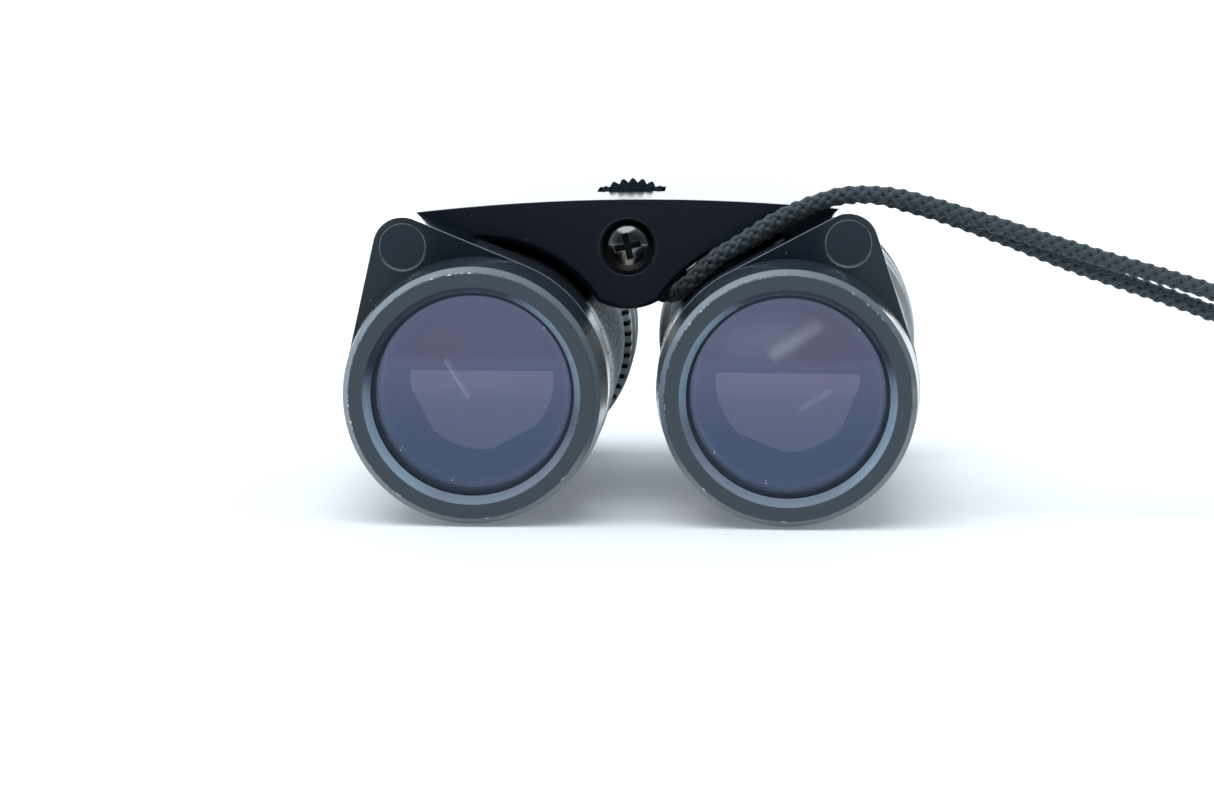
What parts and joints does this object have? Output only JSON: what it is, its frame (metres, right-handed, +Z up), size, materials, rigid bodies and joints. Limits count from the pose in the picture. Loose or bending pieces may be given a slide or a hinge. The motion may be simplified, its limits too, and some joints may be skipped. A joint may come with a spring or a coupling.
{
  "type": "binoculars",
  "caption": "Compact folding binoculars with hinged barrels on a short bridge, a toothed centre focus wheel, a dioptre ring, rubber eyecups and a braided wrist cord.",
  "frame": {"origin": "on the table under the middle of the glasses, the wrist cord aside", "axes": "+Y from the objectives to the eyepieces along the barrels, +Z up, +X to the right as seen from the objective side"},
  "size_m": [0.1857, 0.0966, 0.0433],
  "materials": {
    "black_enamel": "dark navy black enamel, semi-gloss",
    "grey_enamel": "worn dark grey enamel with bare scratches",
    "dark_anodised": "matte black anodised",
    "leatherette": "pebbled black leatherette, slightly shiny",
    "steel": "turned, lightly oiled",
    "black_chrome": "glossy black chrome",
    "brass": "turned, greased",
    "teal_enamel": "dark teal enamel on a turned wheel",
    "ring_metal": "turned satin ring, dark in its grooves",
    "rim_metal": "turned satin rim",
    "carrier_black": "matte black",
    "prism_glass": "polished optical glass",
    "coated_glass": "indigo anti-reflection coating",
    "rubber": "soft matte black",
    "cord": "braided dark grey-green"
  },
  "bodies": {
    "bridge": {"bridge_body": "black_enamel", "bridge_front_plate": "black_enamel", "bridge_screw": "black_chrome", "bridge_bottom_cover": "black_enamel", "cover_screws": "steel", "left_hinge_pin": "steel", "right_hinge_pin": "steel", "strap_bar": "steel", "cord_hitch": "cord", "wrist_cord": "cord"},
    "focus_wheel_body": {"focus_wheel": "teal_enamel", "focus_spindle": "brass"},
    "carriage": {"focus_carriage": "brass", "left_focus_rod": "steel", "right_focus_rod": "steel"},
    "left_barrel_body": {"left_barrel": "black_enamel", "left_covering": "leatherette", "left_bezel": "grey_enamel", "left_hinge_cap": "black_enamel", "left_prism_carrier": "carrier_black", "left_prism": "prism_glass"},
    "right_barrel_body": {"right_barrel": "black_enamel", "right_covering": "leatherette", "right_bezel": "grey_enamel", "right_hinge_cap": "black_enamel", "right_prism_carrier": "carrier_black", "right_prism": "prism_glass", "right_rear_ring": "rim_metal", "right_eyepiece_cell": "dark_anodised", "right_field_lens": "coated_glass", "right_eye_lens": "coated_glass", "right_rear_rim": "rim_metal", "right_eyecup": "rubber"},
    "left_objective": {"left_objective_cell": "dark_anodised", "left_objective_lens": "coated_glass", "left_lens_ring": "dark_anodised"},
    "right_objective": {"right_objective_cell": "dark_anodised", "right_objective_lens": "coated_glass", "right_lens_ring": "dark_anodised"},
    "dioptre": {"dioptre_ring": "ring_metal"},
    "left_eyepiece": {"left_eyepiece_cell": "dark_anodised", "left_field_lens": "coated_glass", "left_eye_lens": "coated_glass", "left_rear_rim": "rim_metal", "left_eyecup": "rubber"}
  },
  "joints": [
    {"name": "left_hinge", "type": "hinge", "parent": "bridge", "child": "left_barrel_body", "pos_m": [-0.02969, -0.02337, 0.03539], "axis": [0, 0.9998, 0.0199], "range_deg": [-2, 52]},
    {"name": "right_hinge", "type": "hinge", "parent": "bridge", "child": "right_barrel_body", "pos_m": [0.0277, -0.02338, 0.03632], "axis": [0, -0.9998, -0.0199], "range_deg": [0, 47.7]},
    {"name": "focus_turn", "type": "hinge", "parent": "bridge", "child": "focus_wheel_body", "pos_m": [-0.00098, -0.02335, 0.03481], "axis": [0, 0.9998, 0.0199], "range_deg": [-200, 200]},
    {"name": "carriage_slide", "type": "slide", "parent": "bridge", "child": "carriage", "axis": [0, 0.9998, 0.0199], "range_m": [-0.001, 0.001]},
    {"name": "left_objective_slide", "type": "slide", "parent": "left_barrel_body", "child": "left_objective", "axis": [0, 0.9998, 0.0199], "range_m": [-0.001, 0.001]},
    {"name": "right_objective_slide", "type": "slide", "parent": "right_barrel_body", "child": "right_objective", "axis": [0, 0.9998, 0.0199], "range_m": [-0.001, 0.001]},
    {"name": "dioptre_turn", "type": "hinge", "parent": "left_barrel_body", "child": "dioptre", "pos_m": [-0.02009, 0.02698, 0.01828], "axis": [0, 0.9998, 0.0199], "range_deg": [-75, 75]},
    {"name": "left_eyepiece_slide", "type": "slide", "parent": "left_barrel_body", "child": "left_eyepiece", "axis": [0, 0.9998, 0.0199], "range_m": [-0.0007, 0.0007]}
  ],
  "couplings": [
    {"joint": "carriage_slide", "follows": "focus_turn", "m_per_rad": 0.00028619},
    {"joint": "left_objective_slide", "follows": "focus_turn", "m_per_rad": 0.00028619},
    {"joint": "right_objective_slide", "follows": "focus_turn", "m_per_rad": 0.00028619},
    {"joint": "left_eyepiece_slide", "follows": "dioptre_turn", "m_per_rad": 0.00053423}
  ]
}
